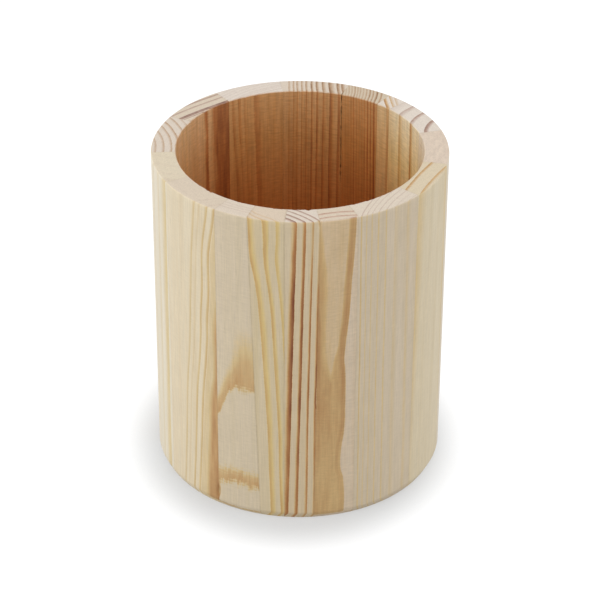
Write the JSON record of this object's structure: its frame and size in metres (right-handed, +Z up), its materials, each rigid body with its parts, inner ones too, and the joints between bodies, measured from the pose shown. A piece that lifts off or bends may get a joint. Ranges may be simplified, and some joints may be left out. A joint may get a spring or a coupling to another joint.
{
  "type": "pencil pot",
  "caption": "Round wooden pencil pot, turned from a ring of glued pine staves, open at the top, with a floor let into its foot.",
  "frame": {"origin": "middle of the foot, on the surface that the pot stands on", "axes": "+Z up along the pot's axis, -Y towards the front in the picture, +X to its right"},
  "size_m": [0.085, 0.085, 0.1],
  "materials": {
    "stave_01": "sanded pine, pinkish, bare",
    "stave_02_first_strip": "sanded pine, cream, bare",
    "stave_02_second_strip": "sanded pine, tan, close rings, bare",
    "stave_03": "sanded pine, red-brown quarter grain, bare",
    "stave_04": "sanded pine, tan, bare",
    "stave_05": "sanded pine, amber flat grain, bare",
    "stave_06": "sanded pine, amber flat grain, bare",
    "stave_07": "sanded pine, cream, bare",
    "stave_08": "sanded pine, straw with thin amber lines, bare",
    "stave_09_first_strip": "sanded pine, pinkish with a cathedral grain, bare",
    "stave_09_second_strip": "sanded pine, straw with amber lines, bare",
    "stave_10_first_strip": "sanded pine, cream with strong red-brown lines, bare",
    "stave_10_second_strip": "sanded pine, tan flat grain, bare",
    "stave_11": "sanded pine, greyish beige with fine lines, bare",
    "stave_12": "sanded pine, straw, bare",
    "stave_13": "sanded pine, cream, bare",
    "floor_board_left": "sanded pine board, cream, bare",
    "floor_board_right": "sanded pine board, tan, bare"
  },
  "bodies": {
    "root": {"stave_01": "stave_01", "stave_02_first_strip": "stave_02_first_strip", "stave_02_second_strip": "stave_02_second_strip", "stave_03": "stave_03", "stave_04": "stave_04", "stave_05": "stave_05", "stave_06": "stave_06", "stave_07": "stave_07", "stave_08": "stave_08", "stave_09_first_strip": "stave_09_first_strip", "stave_09_second_strip": "stave_09_second_strip", "stave_10_first_strip": "stave_10_first_strip", "stave_10_second_strip": "stave_10_second_strip", "stave_11": "stave_11", "stave_12": "stave_12", "stave_13": "stave_13", "floor_board_left": "floor_board_left", "floor_board_right": "floor_board_right"}
  },
  "joints": []
}
